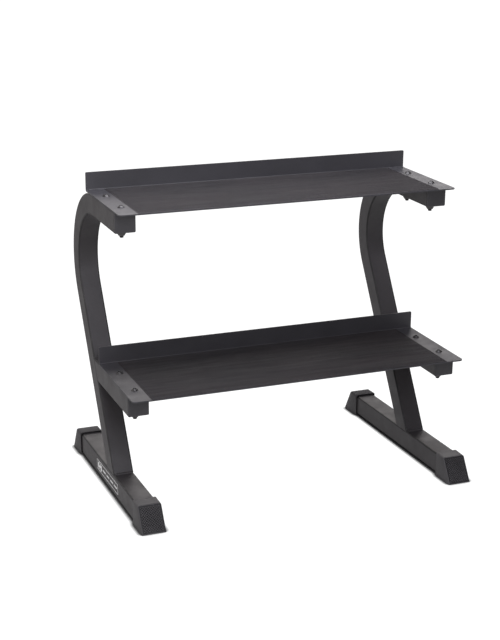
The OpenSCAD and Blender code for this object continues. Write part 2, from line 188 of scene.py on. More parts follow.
class Finish:
    """A finish in the making.  All its noise lies in the object's own coordinates."""

    def __init__(self, name):
        self.material = bpy.data.materials.new(name)
        self.material.use_nodes = True
        self.nodes, self.link = nodes_of(self.material.node_tree)
        self.place = self.nodes.new("ShaderNodeTexCoord").outputs["Object"]

    def noise(self, scale, detail, stretch=(1, 1, 1)):
        turn = self.nodes.new("ShaderNodeMapping")
        turn.inputs["Scale"].default_value = stretch
        self.link(self.place, turn.inputs["Vector"])
        texture = self.nodes.new("ShaderNodeTexNoise")
        texture.inputs["Scale"].default_value = scale
        texture.inputs["Detail"].default_value = detail
        self.link(turn.outputs[0], texture.inputs["Vector"])
        return texture.outputs["Fac"]

    def mark(self, name):
        """A value painted on the mesh's points."""
        attribute = self.nodes.new("ShaderNodeAttribute")
        attribute.attribute_name = name
        return attribute.outputs["Fac"]

    def spread(self, value, low, high, to_low, to_high):
        span = self.nodes.new("ShaderNodeMapRange")
        for socket, number in (("From Min", low), ("From Max", high),
                               ("To Min", to_low), ("To Max", to_high)):
            span.inputs[socket].default_value = number
        self.link(value, span.inputs["Value"])
        return span.outputs[0]

    def toned(self, value, low, high, first, second):
        """A colour that runs from first to second as the value goes from low to high."""
        ramp = self.nodes.new("ShaderNodeValToRGB")
        for end, place, colour in zip(ramp.color_ramp.elements, (low, high), (first, second)):
            end.position = place
            end.color = (*colour, 1)
        self.link(value, ramp.inputs["Fac"])
        return ramp.outputs["Color"]

    def mixed(self, amount, first, second):
        mix = self.nodes.new("ShaderNodeMix")
        mix.data_type = "RGBA"
        for socket, value in (("Factor", amount), ("A", first), ("B", second)):
            self.plug(value, mix.inputs[socket])
        return mix.outputs["Result"]

    def times(self, first, second):
        product = self.nodes.new("ShaderNodeMath")
        product.operation = "MULTIPLY"
        self.link(first, product.inputs[0])
        self.link(second, product.inputs[1])
        return product.outputs[0]

    def skin(self, value, strength, depth):
        """Surface relief of a depth."""
        bump = self.nodes.new("ShaderNodeBump")
        bump.inputs["Strength"].default_value = strength
        bump.inputs["Distance"].default_value = depth
        self.link(value, bump.inputs["Height"])
        return bump.outputs[0]

    def plug(self, value, socket):
        """Sets a number or a colour on a socket, or links another socket to it."""
        if isinstance(value, tuple):
            socket.default_value = (*value, 1)
        elif isinstance(value, (int, float)):
            socket.default_value = value
        else:
            self.link(value, socket)

    def coated(self, tone, gloss, skin, **others):
        """The finished material, with those shader sockets filled."""
        shader = self.nodes.new("ShaderNodeBsdfPrincipled")
        sockets = {"Base Color": tone, "Roughness": gloss, "Normal": skin, **others}
        for socket, value in sockets.items():
            self.plug(value, shader.inputs[socket])
        self.link(shader.outputs[0], self.nodes.new("ShaderNodeOutputMaterial").inputs["Surface"])
        return self.material


def shaded(colour, share):
    return tuple(c * share for c in colour)


def powder_coat(name, colour, roughness):
    """Satin powder coat: a faint orange-peel skin, cloudy tone, fine specks and, where the
    "edge" attribute marks a tube's corner, painted shade that darkens the corner."""
    paint = Finish(name)
    cloudy = paint.spread(paint.noise(9, 4), 0.3, 0.7, 0, 1)
    tone = paint.mixed(cloudy, shaded(colour, 0.9), shaded(colour, 1.1))
    specks = paint.spread(paint.noise(620, 2), 0.66, 0.74, 0, 0.35)
    tone = paint.mixed(specks, tone, shaded(colour, 1.9))
    # painted shade along the tubes' corners, patchy along their length
    painted_corner_shade = paint.spread(paint.noise(45, 5, (1, 0.35, 0.35)), 0.35, 0.7, 1.0, 0.7)
    tone = paint.mixed(paint.times(paint.mark("edge"), painted_corner_shade), tone, shaded(colour, 0.2))
    gloss = paint.spread(paint.noise(30, 4), 0.3, 0.7, roughness - 0.05, roughness + 0.06)
    return paint.coated(tone, gloss, paint.skin(paint.noise(780, 3), 0.22, 0.0002))


frame_paint = powder_coat("frame_powder_coat", (0.0465, 0.042, 0.0445), 0.5)


def rounded_square(size, corner, steps=6):
    """Points round a square with round corners, anticlockwise, as (across, up, is_corner)."""
    flat = size / 2 - corner
    margin = min(0.0009, flat / 4)
    points = []
    for quarter in range(4):
        centre_x = flat if quarter in (0, 3) else -flat
        centre_y = flat if quarter in (0, 1) else -flat
        start = quarter * math.pi / 2
        lead = Vector((math.cos(start), math.sin(start)))
        side = Vector((math.sin(start), -math.cos(start)))
        before = Vector((centre_x, centre_y)) + lead * corner + side * margin
        points.append((before.x, before.y, 0))
        for step in range(steps + 1):
            angle = start + step / steps * math.pi / 2
            points.append((centre_x + corner * math.cos(angle), centre_y + corner * math.sin(angle), 1))
        end = start + math.pi / 2
        after = Vector((centre_x, centre_y)) + Vector((math.cos(end), math.sin(end))) * corner
        after += Vector((-math.sin(end), math.cos(end))) * margin
        points.append((after.x, after.y, 0))
    return points


def loops_to_mesh(name, loops, closed=False):
    """Skins a list of equal rings of points; closed joins the last ring to the first."""
    count = len(loops[0])
    points = [p for loop in loops for p in loop]
    faces = []
    for i in range(len(loops) if closed else len(loops) - 1):
        a, b = i * count, (i + 1) % len(loops) * count
        for j in range(count):
            k = (j + 1) % count
            faces.append((a + j, a + k, b + k, b + j))
    if not closed:
        faces += [tuple(range(count)), tuple(range(len(points) - count, len(points)))]
    mesh = bpy.data.meshes.new(name)
    mesh.from_pydata([tuple(p) for p in points], [], faces)
    return mesh


def finished(name, mesh, material, slot, *nodes, sharp=35, bevel=0.0):
    """Turns a closed mesh into a piece that stands for those CAD nodes."""
    work = bmesh.new()
    work.from_mesh(mesh)
    bmesh.ops.remove_doubles(work, verts=work.verts, dist=1e-6)
    bmesh.ops.recalc_face_normals(work, faces=work.faces)
    if bevel:
        edges = [e for e in work.edges if len(e.link_faces) == 2
                 and e.calc_face_angle(0) > math.radians(sharp)]
        bmesh.ops.bevel(work, geom=edges, offset=bevel, segments=2, profile=0.5, affect="EDGES",
                        clamp_overlap=True)
    work.to_mesh(mesh)
    work.free()
    mesh.shade_smooth()
    mesh.set_sharp_from_angle(angle=math.radians(sharp))
    mesh.materials.clear()
    mesh.materials.append(material)
    piece = bpy.data.objects.new(name, mesh)
    bpy.context.scene.collection.objects.link(piece)
    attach(piece, "root")
    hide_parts(*nodes)
    return piece


def tube_mesh(name, stations, bore=()):
    """Square tube through stations: each is a function from (across, up) to a point in space.
    The ring of corner points carries the "edge" attribute, where the paint darkens the corners with painted
    shade."""
    outside = rounded_square(TUBE, TUBE_CORNER)
    inside = rounded_square(TUBE - 2 * TUBE_WALL, TUBE_CORNER - TUBE_WALL)
    loops = [[at(u, v) for u, v, _ in outside] for at in stations]
    loops += [[at(u, v) for u, v, _ in inside] for at in reversed(stations)]
    mesh = loops_to_mesh(name, loops, closed=True)
    # corner points set to 1 get painted shade in the frame's powder coat
    edge = mesh.attributes.new("edge", "FLOAT", "POINT")
    values = [is_corner for _, _, is_corner in outside] * len(stations)
    values += [0] * (len(mesh.vertices) - len(values))
    edge.data.foreach_set("value", values)
    return mesh


def along_runner(y):
    return lambda u, v: Vector((FRAME_X + u, y, RUNNER_TOP - TUBE / 2 + v))


for side, sign in (("left", -1), ("right", 1)):
    mesh = tube_mesh(f"{side}_runner_tube", [along_runner(runner_low.y), along_runner(runner_high.y)])
    mesh.transform(Matrix.Diagonal((sign, 1, 1, 1)))
    finished(f"{side}_runner_tube", mesh, frame_paint, "frame_paint", f"{side}_floor_runner")


# ---- Curved uprights ------------------------------------------------------
# One tube each side: it leans back from the runner, turns through 122 degrees in
# a single bend and comes forward as the upper shelf's arm.  Sawn to a mitre at
# the foot; two bolt holes go down through the arm.
LEAN = math.radians(30.4)
BEND_RADIUS = 0.156
BOLT_HOLE_RADIUS = 0.0055
slope_axis = Vector(next(m["axis"] for m in frame["record"]["mounts"] if m["name"] == "upper_mat_top"))
TILT = math.atan2(-slope_axis.y, slope_axis.z)
slope = Matrix.Rotation(TILT, 4, "X")      # turns a level shelf into the real, sloped one
upright_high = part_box("right_curved_upright")[1]
bend_y = upright_high.y - BEND_RADIUS - TUBE / 2
bend_z = upright_high.z - BEND_RADIUS - TUBE / 2


def sloped_box(node):
    """Lowest and highest corner of a CAD node as it would lie if the shelves were level."""
    level = [slope.inverted() @ v.co for v in frame["nodes"][node].data.vertices]
    return (Vector([min(p[i] for p in level) for i in range(3)]),
            Vector([max(p[i] for p in level) for i in range(3)]))


def in_bend(angle, run=0.0):
    """Section at an angle round the bend, moved on by run along the tube there."""
    out = Vector((0, math.cos(angle), math.sin(angle)))
    on = Vector((0, -math.sin(angle), math.cos(angle)))
    centre = Vector((FRAME_X, bend_y, bend_z)) + out * BEND_RADIUS + on * run
    return lambda u, v: centre + Vector((u, 0, 0)) + out * v


def mitred(station, direction, plane_point, plane_normal):
    """The same section slid along the tube until it lies in a plane."""
    def at(u, v):
        point = station(u, v)
        return point + direction * ((plane_point - point).dot(plane_normal) / direction.dot(plane_normal))
    return at


up_the_upright = Vector((0, math.sin(LEAN), math.cos(LEAN)))
arm_front = sloped_box("right_curved_upright")[0].y
arm_middle = slope.inverted() @ in_bend(math.pi / 2 + TILT)(0, 0)
BEND_STEPS = 60

stations = [mitred(in_bend(-LEAN), up_the_upright, Vector((0, 0, RUNNER_TOP)), Vector((0, 0, 1)))]
for step in range(BEND_STEPS + 1):
    stations.append(in_bend(-LEAN + step / BEND_STEPS * (math.pi / 2 + LEAN + TILT)))
stations.append(in_bend(math.pi / 2 + TILT, arm_middle.y - arm_front))


def bolt_spots(shelf):
    """The middles of the four bolts of one shelf, as if it were level."""
    low, high = sloped_box(f"{shelf}_shelf_washers")
    radius = (high.x - low.x - 2 * FRAME_X) / 2
    return [Vector((x, y, high.z)) for x in (low.x + radius, high.x - radius)
            for y in (low.y + radius, high.y - radius)]


def cut_away(mesh, tool_mesh):
    """The first mesh less the second, by an exact boolean."""
    tool = bpy.data.objects.new("tool", tool_mesh)
    blank = bpy.data.objects.new("blank", mesh)
    for piece in (tool, blank):
        bpy.context.scene.collection.objects.link(piece)
    cut = blank.modifiers.new("cut", "BOOLEAN")
    cut.operation = "DIFFERENCE"
    cut.solver = "EXACT"
    cut.object = tool
    bpy.context.view_layer.update()
    result = bpy.data.meshes.new_from_object(blank.evaluated_get(bpy.context.evaluated_depsgraph_get()))
    for piece in (tool, blank):
        bpy.data.objects.remove(piece)
    return result


def drilled(mesh, shelf, top, bottom):
    """Cuts the shelf's bolt holes through a mesh between two level heights."""
    drills = bmesh.new()
    for spot in bolt_spots(shelf):
        middle = Vector((spot.x, spot.y, (top + bottom) / 2))
        bmesh.ops.create_cone(drills, cap_ends=True, segments=40, radius1=BOLT_HOLE_RADIUS,
                              radius2=BOLT_HOLE_RADIUS, depth=top - bottom,
                              matrix=slope @ Matrix.Translation(middle))
    drill_mesh = bpy.data.meshes.new("drills")
    drills.to_mesh(drill_mesh)
    drills.free()
    return cut_away(mesh, drill_mesh)


CLEAR = 0.01      # how far a drill runs past what it cuts
for side, sign in (("left", -1), ("right", 1)):
    mesh = tube_mesh(f"{side}_upright_tube", stations)
    mesh.transform(Matrix.Diagonal((sign, 1, 1, 1)))
    arm_top = arm_middle.z + TUBE / 2
    mesh = drilled(mesh, "upper", arm_top + CLEAR, arm_top - TUBE - CLEAR)
    finished(f"{side}_upright_tube", mesh, frame_paint, "frame_paint", f"{side}_curved_upright")


# ---- Lower arms -----------------------------------------------------------
# A straight tube under each end of the lower shelf, sawn at its back end to the
# upright's lean and welded to the upright's front face.
arm_low, arm_high = sloped_box("right_lower_arm")
upright_front = Vector((0, math.cos(-LEAN), math.sin(-LEAN)))      # square to the upright's front face
on_upright_front = Vector((0, bend_y, bend_z)) + upright_front * (BEND_RADIUS - TUBE / 2)


def in_lower_arm(u, v):
    return slope @ Vector((FRAME_X + u, arm_low.y, arm_high.z - TUBE / 2 + v))


back_along_arm = slope @ Vector((0, 1, 0))
for side, sign in (("left", -1), ("right", 1)):
    mesh = tube_mesh(f"{side}_lower_arm_tube",
                     [in_lower_arm, mitred(in_lower_arm, back_along_arm, on_upright_front, upright_front)])
    mesh.transform(Matrix.Diagonal((sign, 1, 1, 1)))
    mesh = drilled(mesh, "lower", arm_high.z + CLEAR, arm_high.z - TUBE - CLEAR)
    finished(f"{side}_lower_arm_tube", mesh, frame_paint, "frame_paint", f"{side}_lower_arm")


# ---- Welds ----------------------------------------------------------------
# Hand-laid MIG beads in the open corners, with the usual stacked ripples, and
# low fills where the tubes' sides run flush.  Painted over with the frame.
WELD_LEG = 0.004
RIPPLE = 0.0026
BEAD_STEPS = 96
BEAD_HALF = (TUBE - 2.4 * TUBE_CORNER) / 2
FILL_RECESS = 0.0006
FILL_WIDTH = 0.65 * TUBE_CORNER


def weld_bead(corner, first, second):
    """Rings of a rippled bead across the tube, in the corner between two directions."""
    turn = first.angle(second)
    square_to_first = (second - first * second.dot(first)).normalized()
    rings = []
    for i in range(BEAD_STEPS + 1):
        across = -BEAD_HALF + 2 * BEAD_HALF * i / BEAD_STEPS
        taper = min(1, 0.55 + 12 * (1 - abs(across) / BEAD_HALF))
        ring = [corner + Vector((across, 0, 0))]
        for j in range(9):
            share = j / 8
            crescent = across + 0.0009 * math.sin(math.pi * share)
            swell = 0.86 + 0.14 * abs(math.sin(math.pi * crescent / RIPPLE))
            radius = WELD_LEG * taper * swell
            angle = share * turn
            out = first * math.cos(angle) + square_to_first * math.sin(angle)
            ring.append(corner + Vector((across, 0, 0)) + out * radius)
        rings.append(ring)
    return rings


def joined(name, meshes):
    """One mesh of several."""
    work = bmesh.new()
    for mesh in meshes:
        work.from_mesh(mesh)
    result = bpy.data.meshes.new(name)
    work.to_mesh(result)
    work.free()
    return result


def flush_fill(name, near, far_end, back):
    """Low strips beside the tubes' corners, from near to far_end, set back in the groove."""
    strips = []
    for edge in (-1, 1):
        outer = edge * (TUBE / 2 - FILL_RECESS)
        inner = edge * (TUBE / 2 - FILL_RECESS - FILL_WIDTH)
        rings = []
        for i in range(25):
            share = i / 24
            point = near.lerp(far_end, share)
            dip = 0.0002 * abs(math.sin(9 * math.pi * share))
            bottom = 0.55 * TUBE_CORNER
            rings.append([point + Vector((outer - edge * dip, 0, 0)),
                          point + Vector((inner, 0, 0)),
                          point + Vector((inner + edge * 0.0012, 0, 0)) + back * 0.0002,
                          point + Vector((outer - edge * dip, 0, 0)) + back * bottom])
        strips.append(loops_to_mesh(name, rings))
    return joined(name, strips)


def where_upright_meets(height, face):
    """Point of the upright's front (-1) or back (1) face at a height above the floor."""
    start = Vector((FRAME_X, bend_y, bend_z)) + upright_front * (BEND_RADIUS + face * TUBE / 2)
    return start + up_the_upright * ((height - start.z) / up_the_upright.z)


forward = Vector((0, -1, 0))
front_corner = where_upright_meets(RUNNER_TOP, -1)
back_corner = where_upright_meets(RUNNER_TOP, 1)
arm_forward = -back_along_arm
arm_corners = []
for height in (arm_high.z, arm_high.z - TUBE):
    start = slope @ Vector((FRAME_X, arm_low.y, height))
    arm_corners.append(start + back_along_arm * ((on_upright_front - start).dot(upright_front)
                                                 / back_along_arm.dot(upright_front)))
corner_inset = TUBE_CORNER / math.cos(LEAN)

for side, sign in (("left", -1), ("right", 1)):
    foot_weld = joined(f"{side}_foot_weld", [
        loops_to_mesh("bead", weld_bead(front_corner, forward, up_the_upright)),
        loops_to_mesh("bead", weld_bead(back_corner, -forward, up_the_upright)),
        flush_fill("fill", front_corner - forward * corner_inset, back_corner + forward * corner_inset,
                   Vector((0, 0, -1)))])
    arm_weld = joined(f"{side}_arm_weld", [
        loops_to_mesh("bead", weld_bead(arm_corners[0], arm_forward, up_the_upright)),
        loops_to_mesh("bead", weld_bead(arm_corners[1], arm_forward, -up_the_upright)),
        flush_fill("fill", arm_corners[0].lerp(arm_corners[1], 0.08),
                   arm_corners[0].lerp(arm_corners[1], 0.92), upright_front)])
    for mesh, node in ((foot_weld, "upright_weld"), (arm_weld, "lower_arm_weld")):
        mesh.transform(Matrix.Diagonal((sign, 1, 1, 1)))
        finished(mesh.name, mesh, frame_paint, "frame_paint", f"{side}_{node}", sharp=60)


# ---- Wedge feet -----------------------------------------------------------
# Moulded rubber sleeves pushed over the runners' ends.  A thin shell with inner
# ribs that grip the tube, and a sloped end face with a raised diamond grip.
FOOT_GAP = 0.0022
FOOT_RIB = 0.003
FOOT_RIB_PLACE = 0.014
FOOT_MOUTH = 0.007
FOOT_ROUND = 0.005
GRIP_PITCH = 0.0062
GRIP_DEPTH = 0.0015
GRIP_MARGIN = 0.0025
PAINTED_TIP_HIGHLIGHT = 0.1              # "grip" of the points' tops: a painted highlight
PAINTED_VALLEY_SHADE = -0.95            # "grip" of the points' feet: painted shade
PAINTED_RECESS_SHADE = -0.6             # "grip" of the face that they stand on: painted shade
foot_low, foot_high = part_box("right_front_foot")
FOOT_WIDTH = foot_high.x - foot_low.x
FOOT_HEIGHT = foot_high.z - foot_low.z
FOOT_LENGTH = foot_high.y - foot_low.y
foot_corners = [v.co for v in frame["nodes"]["right_front_foot"].data.vertices]
FOOT_TOP_LENGTH = FOOT_LENGTH - max(corner.y - foot_low.y for corner in foot_corners
                                    if corner.y < runner_low.y and corner.z > foot_high.z - 1e-4)


def moulded(name, colour, roughness, grain, bump):
    """Moulded rubber or plastic: fine grain and a little bloom in patches.  The "grip" attribute
    paints light and shade into the colour: a painted highlight above 0 and painted shade down to -1."""
    rubber = Finish(name)
    patches = rubber.noise(28, 5)
    tone = rubber.toned(patches, 0.3, 0.75, shaded(colour, 0.85), shaded(colour, 1.2))
    # painted light and shade from the "grip" attribute scales the colour
    shade = rubber.nodes.new("ShaderNodeVectorMath")
    shade.operation = "SCALE"
    rubber.link(tone, shade.inputs[0])
    rubber.link(rubber.spread(rubber.mark("grip"), -1, 1, 0.1, 1.9), shade.inputs["Scale"])
    gloss = rubber.spread(patches, 0.3, 0.7, roughness - 0.06, roughness + 0.06)
    return rubber.coated(shade.outputs[0], gloss, rubber.skin(rubber.noise(grain, 3), bump, 0.0002))


foot_rubber = moulded("foot_rubber", (0.063, 0.0595, 0.0625), 0.6, 900, 0.35)


def on_end_face(x, z, out=0.0):
    """Point of the foot's sloped end, at a height z, moved out of the face but never below the floor."""
    run = (FOOT_LENGTH - FOOT_TOP_LENGTH) / FOOT_HEIGHT
    tilt = math.atan(run)
    y = -(FOOT_LENGTH - run * z)
    return Vector((x, y - out * math.cos(tilt), max(0, z + out * math.sin(tilt))))


def foot_outline(inset):
    """Points round the foot seen from its end, with round top corners."""
    half = FOOT_WIDTH / 2 - inset
    top = FOOT_HEIGHT - inset
    radius = max(FOOT_ROUND - inset, 0.001)
    points = [(-half, inset), (half, inset)]
    for centre, start in ((half - radius, 0), (radius - half, math.pi / 2)):
        for step in range(9):
            angle = start + step / 8 * math.pi / 2
            points.append((centre + radius * math.cos(angle), top - radius + radius * math.sin(angle)))
    return points


def foot_body():
    """The sleeve before its pocket is cut: mouth at y = 0, running to -Y, with a recessed end face."""
    middle = FOOT_HEIGHT / 2
    outline = foot_outline(0)
    edge = 0.0012
    rings = [[Vector((x * (1 - edge / FOOT_WIDTH), 0, middle + (z - middle) * (1 - edge / FOOT_HEIGHT)))
              for x, z in outline],
             [Vector((x, -edge, z)) for x, z in outline]]
    for inset, out in ((0.0, -0.0022), (0.0003, -0.0011), (0.0009, -0.0004), (0.0022, 0.0)):
        rings.append([on_end_face(x, z, out) for x, z in foot_outline(inset)])
    rings.append([on_end_face(x, z, 0.0) for x, z in foot_outline(GRIP_MARGIN)])
    rings.append([on_end_face(x, z, -GRIP_DEPTH) for x, z in foot_outline(GRIP_MARGIN + 0.0004)])
    shell = loops_to_mesh("foot_shell", rings)
    work = bmesh.new()
    work.from_mesh(shell)
    bmesh.ops.recalc_face_normals(work, faces=work.faces)
    work.to_mesh(shell)
    work.free()
    return shell


def block(low, high):
    """Plain box mesh between two corners, for cutting with."""
    work = bmesh.new()
    size = Vector(high) - Vector(low)
    middle = (Vector(high) + Vector(low)) / 2
    bmesh.ops.create_cube(work, size=1, matrix=Matrix.Translation(middle) @ Matrix.Diagonal((*size, 1)))
    mesh = bpy.data.meshes.new("block")
    work.to_mesh(mesh)
    work.free()
    return mesh


def pocket_mesh(size, corner, deep):
    """Round-cornered square plug that opens the foot's mouth."""
    middle = FOOT_HEIGHT / 2
    points = [(u, v) for u, v, _ in rounded_square(size, corner)]
    return loops_to_mesh("pocket", [[Vector((u, y, middle + v)) for u, v in points] for y in (0.001, -deep)])


def group_of(name, asks, gives):
    """Starts a geometry node group; returns it, its nodes, its link function and its inputs."""
    tree = bpy.data.node_groups.new(name, "GeometryNodeTree")
    for ask, kind in asks.items():
        tree.interface.new_socket(ask, in_out="INPUT", socket_type="NodeSocket" + kind)
    tree.interface.new_socket(gives, in_out="OUTPUT", socket_type="NodeSocketGeometry")
    return tree, tree.nodes, tree.links.new, tree.nodes.new("NodeGroupInput").outputs


def stamp(nodes, link, points, instance, finish, rotation=None):
    """Ends a group: one real copy at each point, in a finish."""
    stamped = nodes.new("GeometryNodeInstanceOnPoints")
    link(points, stamped.inputs["Points"])
    link(instance, stamped.inputs["Instance"])
    if rotation:
        link(rotation, stamped.inputs["Rotation"])
    real = nodes.new("GeometryNodeRealizeInstances")
    link(stamped.outputs[0], real.inputs[0])
    coat = nodes.new("GeometryNodeSetMaterial")
    link(real.outputs[0], coat.inputs["Geometry"])
    link(finish, coat.inputs["Material"])
    link(coat.outputs[0], nodes.new("NodeGroupOutput").inputs[0])


def grip_tree():
    """Geometry nodes: staggered rows of four-sided points over the foot's end face."""
    tree, nodes, link, asked = group_of("diamond_grip", {
        "Columns": "Int", "Rows": "Int", "Pitch": "Float", "Height": "Float", "Finish": "Material"}, "Grip")

    def maths(operation, first, second):
        node = nodes.new("ShaderNodeMath")
        node.operation = operation
        for socket, value in zip(node.inputs, (first, second)):
            if isinstance(value, (int, float)):
                socket.default_value = value
            else:
                link(value, socket)
        return node.outputs[0]

    point = nodes.new("GeometryNodeMeshCone")
    point.inputs["Vertices"].default_value = 4
    link(maths("MULTIPLY", asked["Pitch"], 0.3), point.inputs["Radius Top"])
    link(maths("MULTIPLY", asked["Pitch"], 0.5), point.inputs["Radius Bottom"])
    link(asked["Height"], point.inputs["Depth"])
    rows = nodes.new("GeometryNodeJoinGeometry")
    for shift in (0, 1):
        grid = nodes.new("GeometryNodeMeshGrid")
        for across, count in (("X", asked["Columns"]), ("Y", asked["Rows"])):
            marks = maths("SUBTRACT", count, shift)
            link(marks, grid.inputs["Vertices " + across])
            gaps = maths("SUBTRACT", marks, 1)
            link(maths("MULTIPLY", gaps, asked["Pitch"]), grid.inputs["Size " + across])
        link(grid.outputs["Mesh"], rows.inputs["Geometry"])
    stamp(nodes, link, rows.outputs[0], point.outputs["Mesh"], asked["Finish"])
    return tree


def grown(tree, values, spots=()):
    """Runs a node tree on a mesh of loose points and returns the plain mesh that it makes."""
    host_mesh = bpy.data.meshes.new("host")
    host_mesh.from_pydata([tuple(spot) for spot in spots], [], [])
    host = bpy.data.objects.new("host", host_mesh)
    bpy.context.scene.collection.objects.link(host)
    made = host.modifiers.new("grow", "NODES")
    made.node_group = tree
    for item in tree.interface.items_tree:
        if item.in_out == "INPUT" and item.name in values:
            made[item.identifier] = values[item.name]
    bpy.context.view_layer.update()
    mesh = bpy.data.meshes.new_from_object(host.evaluated_get(bpy.context.evaluated_depsgraph_get()))
    bpy.data.objects.remove(host)
    return mesh


face_width = FOOT_WIDTH - 2 * GRIP_MARGIN
face_height = math.hypot(FOOT_HEIGHT, FOOT_LENGTH - FOOT_TOP_LENGTH) * (1 - 2 * GRIP_MARGIN / FOOT_HEIGHT)
grip = grown(grip_tree(), {"Columns": int(face_width / GRIP_PITCH), "Rows": int(face_height / GRIP_PITCH),
                           "Pitch": GRIP_PITCH, "Height": GRIP_DEPTH, "Finish": foot_rubber})
# painted highlight on the points' tops and painted shade at their feet
painted_tip_and_valley_light = grip.attributes.new("grip", "FLOAT", "POINT")
painted_tip_and_valley_light.data.foreach_set("value", [PAINTED_TIP_HIGHLIGHT if v.co.z > GRIP_DEPTH / 2 else PAINTED_VALLEY_SHADE for v in grip.vertices])
end_middle = on_end_face(0, FOOT_HEIGHT / 2, -GRIP_DEPTH)
face_right = Vector((1, 0, 0))
face_up = (on_end_face(0, FOOT_HEIGHT) - on_end_face(0, 0)).normalized()
face_out = face_right.cross(face_up)
grip.transform(Matrix((face_right, face_up, face_out)).transposed().to_4x4())
grip.transform(Matrix.Translation(end_middle))

shell = foot_body()
runner_in_foot = foot_high.y - runner_low.y
shell = cut_away(shell, pocket_mesh(TUBE + 0.0002, TUBE_CORNER, runner_in_foot + 0.0001))
shell = cut_away(shell, pocket_mesh(TUBE + 2 * FOOT_GAP, TUBE_CORNER + FOOT_GAP, FOOT_MOUTH))
gap_ring = pocket_mesh(TUBE + 2 * FOOT_GAP, TUBE_CORNER + FOOT_GAP, runner_in_foot + 0.0001)
half_rib = FOOT_RIB / 2
for place in (-FOOT_RIB_PLACE, FOOT_RIB_PLACE):
    middle = FOOT_HEIGHT / 2 + place
    gap_ring = cut_away(gap_ring, block((place - half_rib, -0.1, -0.1), (place + half_rib, 0.1, 0.2)))
    gap_ring = cut_away(gap_ring, block((-0.1, -0.1, middle - half_rib), (0.1, 0.1, middle + half_rib)))
shell = cut_away(shell, gap_ring)
# painted shade on the recessed end face that the points stand on
deep = shell.attributes.new("grip", "FLOAT", "POINT")
deep.data.foreach_set("value", [
    PAINTED_RECESS_SHADE if v.co.y < -runner_in_foot and abs((v.co - end_middle).dot(face_out)) < 1e-4 else 0
    for v in shell.vertices])
foot_mesh = joined("foot", [shell, grip])

for side, sign in (("left", -1), ("right", 1)):
    for end, turn in (("front", 0), ("rear", math.pi)):
        mesh = foot_mesh.copy()
        low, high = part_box(f"{side}_{end}_foot")
        mouth = high.y if end == "front" else low.y
        mesh.transform(Matrix.Translation((sign * FRAME_X, mouth, 0)) @ Matrix.Rotation(turn, 4, "Z"))
        finished(f"{side}_{end}_wedge_foot", mesh, foot_rubber, "foot_rubber", f"{side}_{end}_foot")


# ---- Arm caps -------------------------------------------------------------
# Moulded plastic plugs pushed into the arms' front ends: a face as big as the
# tube with a soft front edge, and a hollow square plug behind it.
CAP_FACE = 0.005
CAP_ROUND = 0.002
CAP_SEAM = 0.001
CAP_DISH = 0.0001
SEAM_RINGS = (5, 6)       # the rings of the cap that lie in its seam with the arm
PLUG_FIT = 0.0002
PLUG_WALL = 0.002
cap_plastic = moulded("cap_plastic", (0.046, 0.0434, 0.0474), 0.45, 1400, 0.25)


def cap_ring(inset, y, size=TUBE, corner=TUBE_CORNER):
    return [Vector((u, y, v)) for u, v, _ in rounded_square(size - 2 * inset, max(corner - inset, 0.0006))]


plug_size = TUBE - 2 * TUBE_WALL - 2 * PLUG_FIT
plug_corner = TUBE_CORNER - TUBE_WALL - PLUG_FIT
for side, sign in (("left", -1), ("right", 1)):
    for level in ("upper", "lower"):
        low, high = sloped_box(f"{side}_{level}_arm_cap")
        plug_length = high.y - low.y - CAP_FACE
        rings = [cap_ring(PLUG_WALL, 0.0005, plug_size, plug_corner),
                 cap_ring(PLUG_WALL, plug_length, plug_size, plug_corner),
                 cap_ring(0.0003, plug_length, plug_size, plug_corner),
                 cap_ring(0, plug_length - 0.0006, plug_size, plug_corner),
                 cap_ring(0, 0, plug_size, plug_corner),
                 cap_ring(CAP_SEAM, 0), cap_ring(0, -CAP_SEAM)]
        for step in range(6):
            angle = step / 5 * math.pi / 2
            rings.append(cap_ring(CAP_ROUND * (1 - math.cos(angle)),
                                  -CAP_FACE + CAP_ROUND * (1 - math.sin(angle))))
        for inset in (0.008, 0.016):
            rings.append(cap_ring(inset, -CAP_FACE + CAP_DISH))
        mesh = loops_to_mesh(f"{side}_{level}_cap", rings)
        around = len(rings[0])
        # painted shade in the seam between the cap and the arm
        seam = mesh.attributes.new("grip", "FLOAT", "POINT")
        seam.data.foreach_set("value", [-1 if i // around in SEAM_RINGS else 0
                                        for i in range(len(mesh.vertices))])
        mesh.transform(Matrix.Translation((sign * FRAME_X, low.y + CAP_FACE, (low.z + high.z) / 2)))
        mesh.transform(slope)
        finished(mesh.name, mesh, cap_plastic, "cap_plastic", f"{side}_{level}_arm_cap", sharp=40)


# ---- Shelves --------------------------------------------------------------
# One 3 mm steel sheet each, folded up at the back into a 43 mm lip, with round
# front corners and deburred edges.  Powder coated, a shade lighter than the frame.
SHEET = 0.003
FOLD_RADIUS = 0.0025
SHELF_CORNER = 0.010
LIP_CORNER = 0.003
SHEET_EDGE = 0.0004
shelf_paint = powder_coat("shelf_powder_coat", (0.0475, 0.0455, 0.051), 0.46)


def setback(distance, radius):
    """How far a rounded corner has drawn an edge back, at a distance from the sheet's end."""
    if distance >= radius:
        return 0.0
    return radius - math.sqrt(radius ** 2 - (radius - distance) ** 2)


